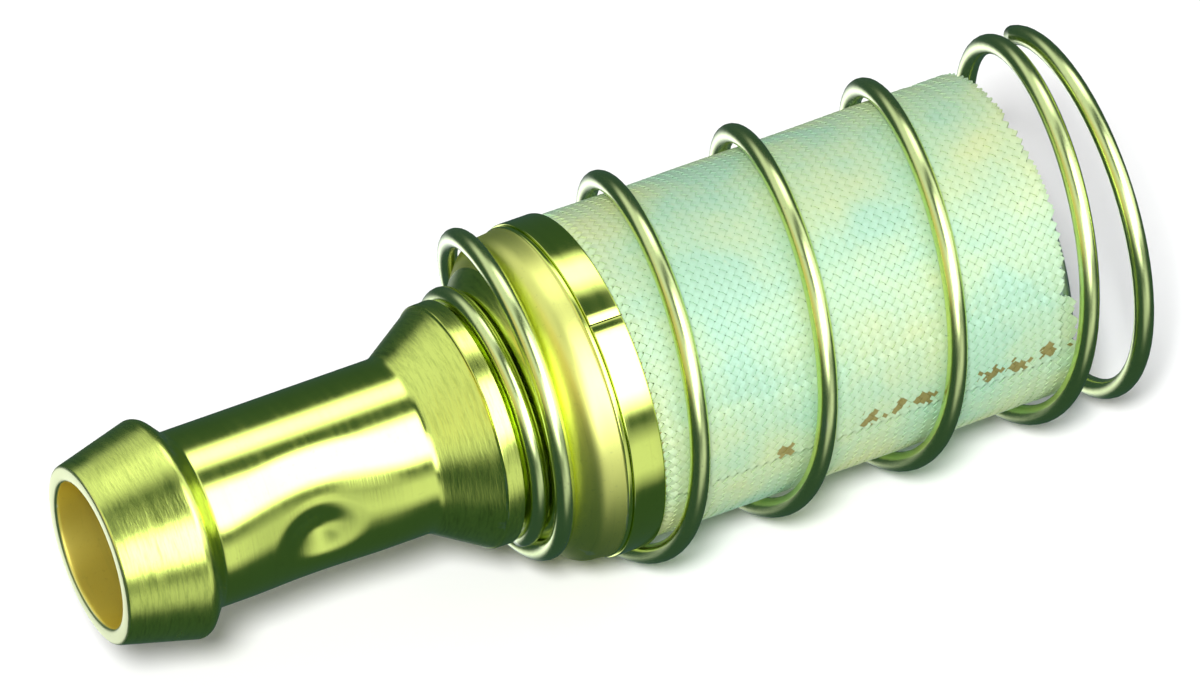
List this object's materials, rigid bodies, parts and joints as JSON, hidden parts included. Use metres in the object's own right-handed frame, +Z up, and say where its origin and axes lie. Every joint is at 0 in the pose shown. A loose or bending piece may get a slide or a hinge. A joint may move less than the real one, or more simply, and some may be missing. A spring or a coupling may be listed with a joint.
{
  "type": "hose tail suction strainer with spring",
  "caption": "Brass barbed hose tail with a ball foot valve, a clamped woven-wire strainer sleeve with a closed end, and a loose steel compression spring around it.",
  "frame": {"origin": "centre of the hose tail's open mouth, on the part's axis", "axes": "+X along the axis from the mouth to the closed end of the strainer and the free end of the spring, +Z up"},
  "size_m": [0.0485, 0.017, 0.0171],
  "materials": {
    "turned_brass": "bright turned brass with fine turning marks",
    "ring_brass": "bright rolled brass",
    "woven_steel": "plain woven stainless wire cloth on the bias, about 77 wires to the inch",
    "cap_steel": "pressed stainless sheet",
    "spring_steel": "bright drawn spring wire",
    "ball_steel": "polished ball"
  },
  "bodies": {
    "strainer_body": {"hose_tail_body": "turned_brass", "sleeve_clamp_ring": "ring_brass", "strainer_sleeve": "woven_steel", "strainer_end_cap": "cap_steel", "spring_seat_turns": "spring_steel", "spring_working_turns": "spring_steel"},
    "spring_end": {"spring_free_turn": "spring_steel"},
    "ball": {"check_ball": "ball_steel"}
  },
  "joints": [
    {"name": "spring_compression", "type": "slide", "parent": "strainer_body", "child": "spring_end", "axis": [-1, 0, 0], "range_m": [0, 0.0038], "stiffness_N_per_m": 330, "deforming": ["spring_working_turns"]},
    {"name": "check_ball_lift", "type": "slide", "parent": "strainer_body", "child": "ball", "axis": [-1, 0, 0], "range_m": [0, 0.0025]}
  ]
}
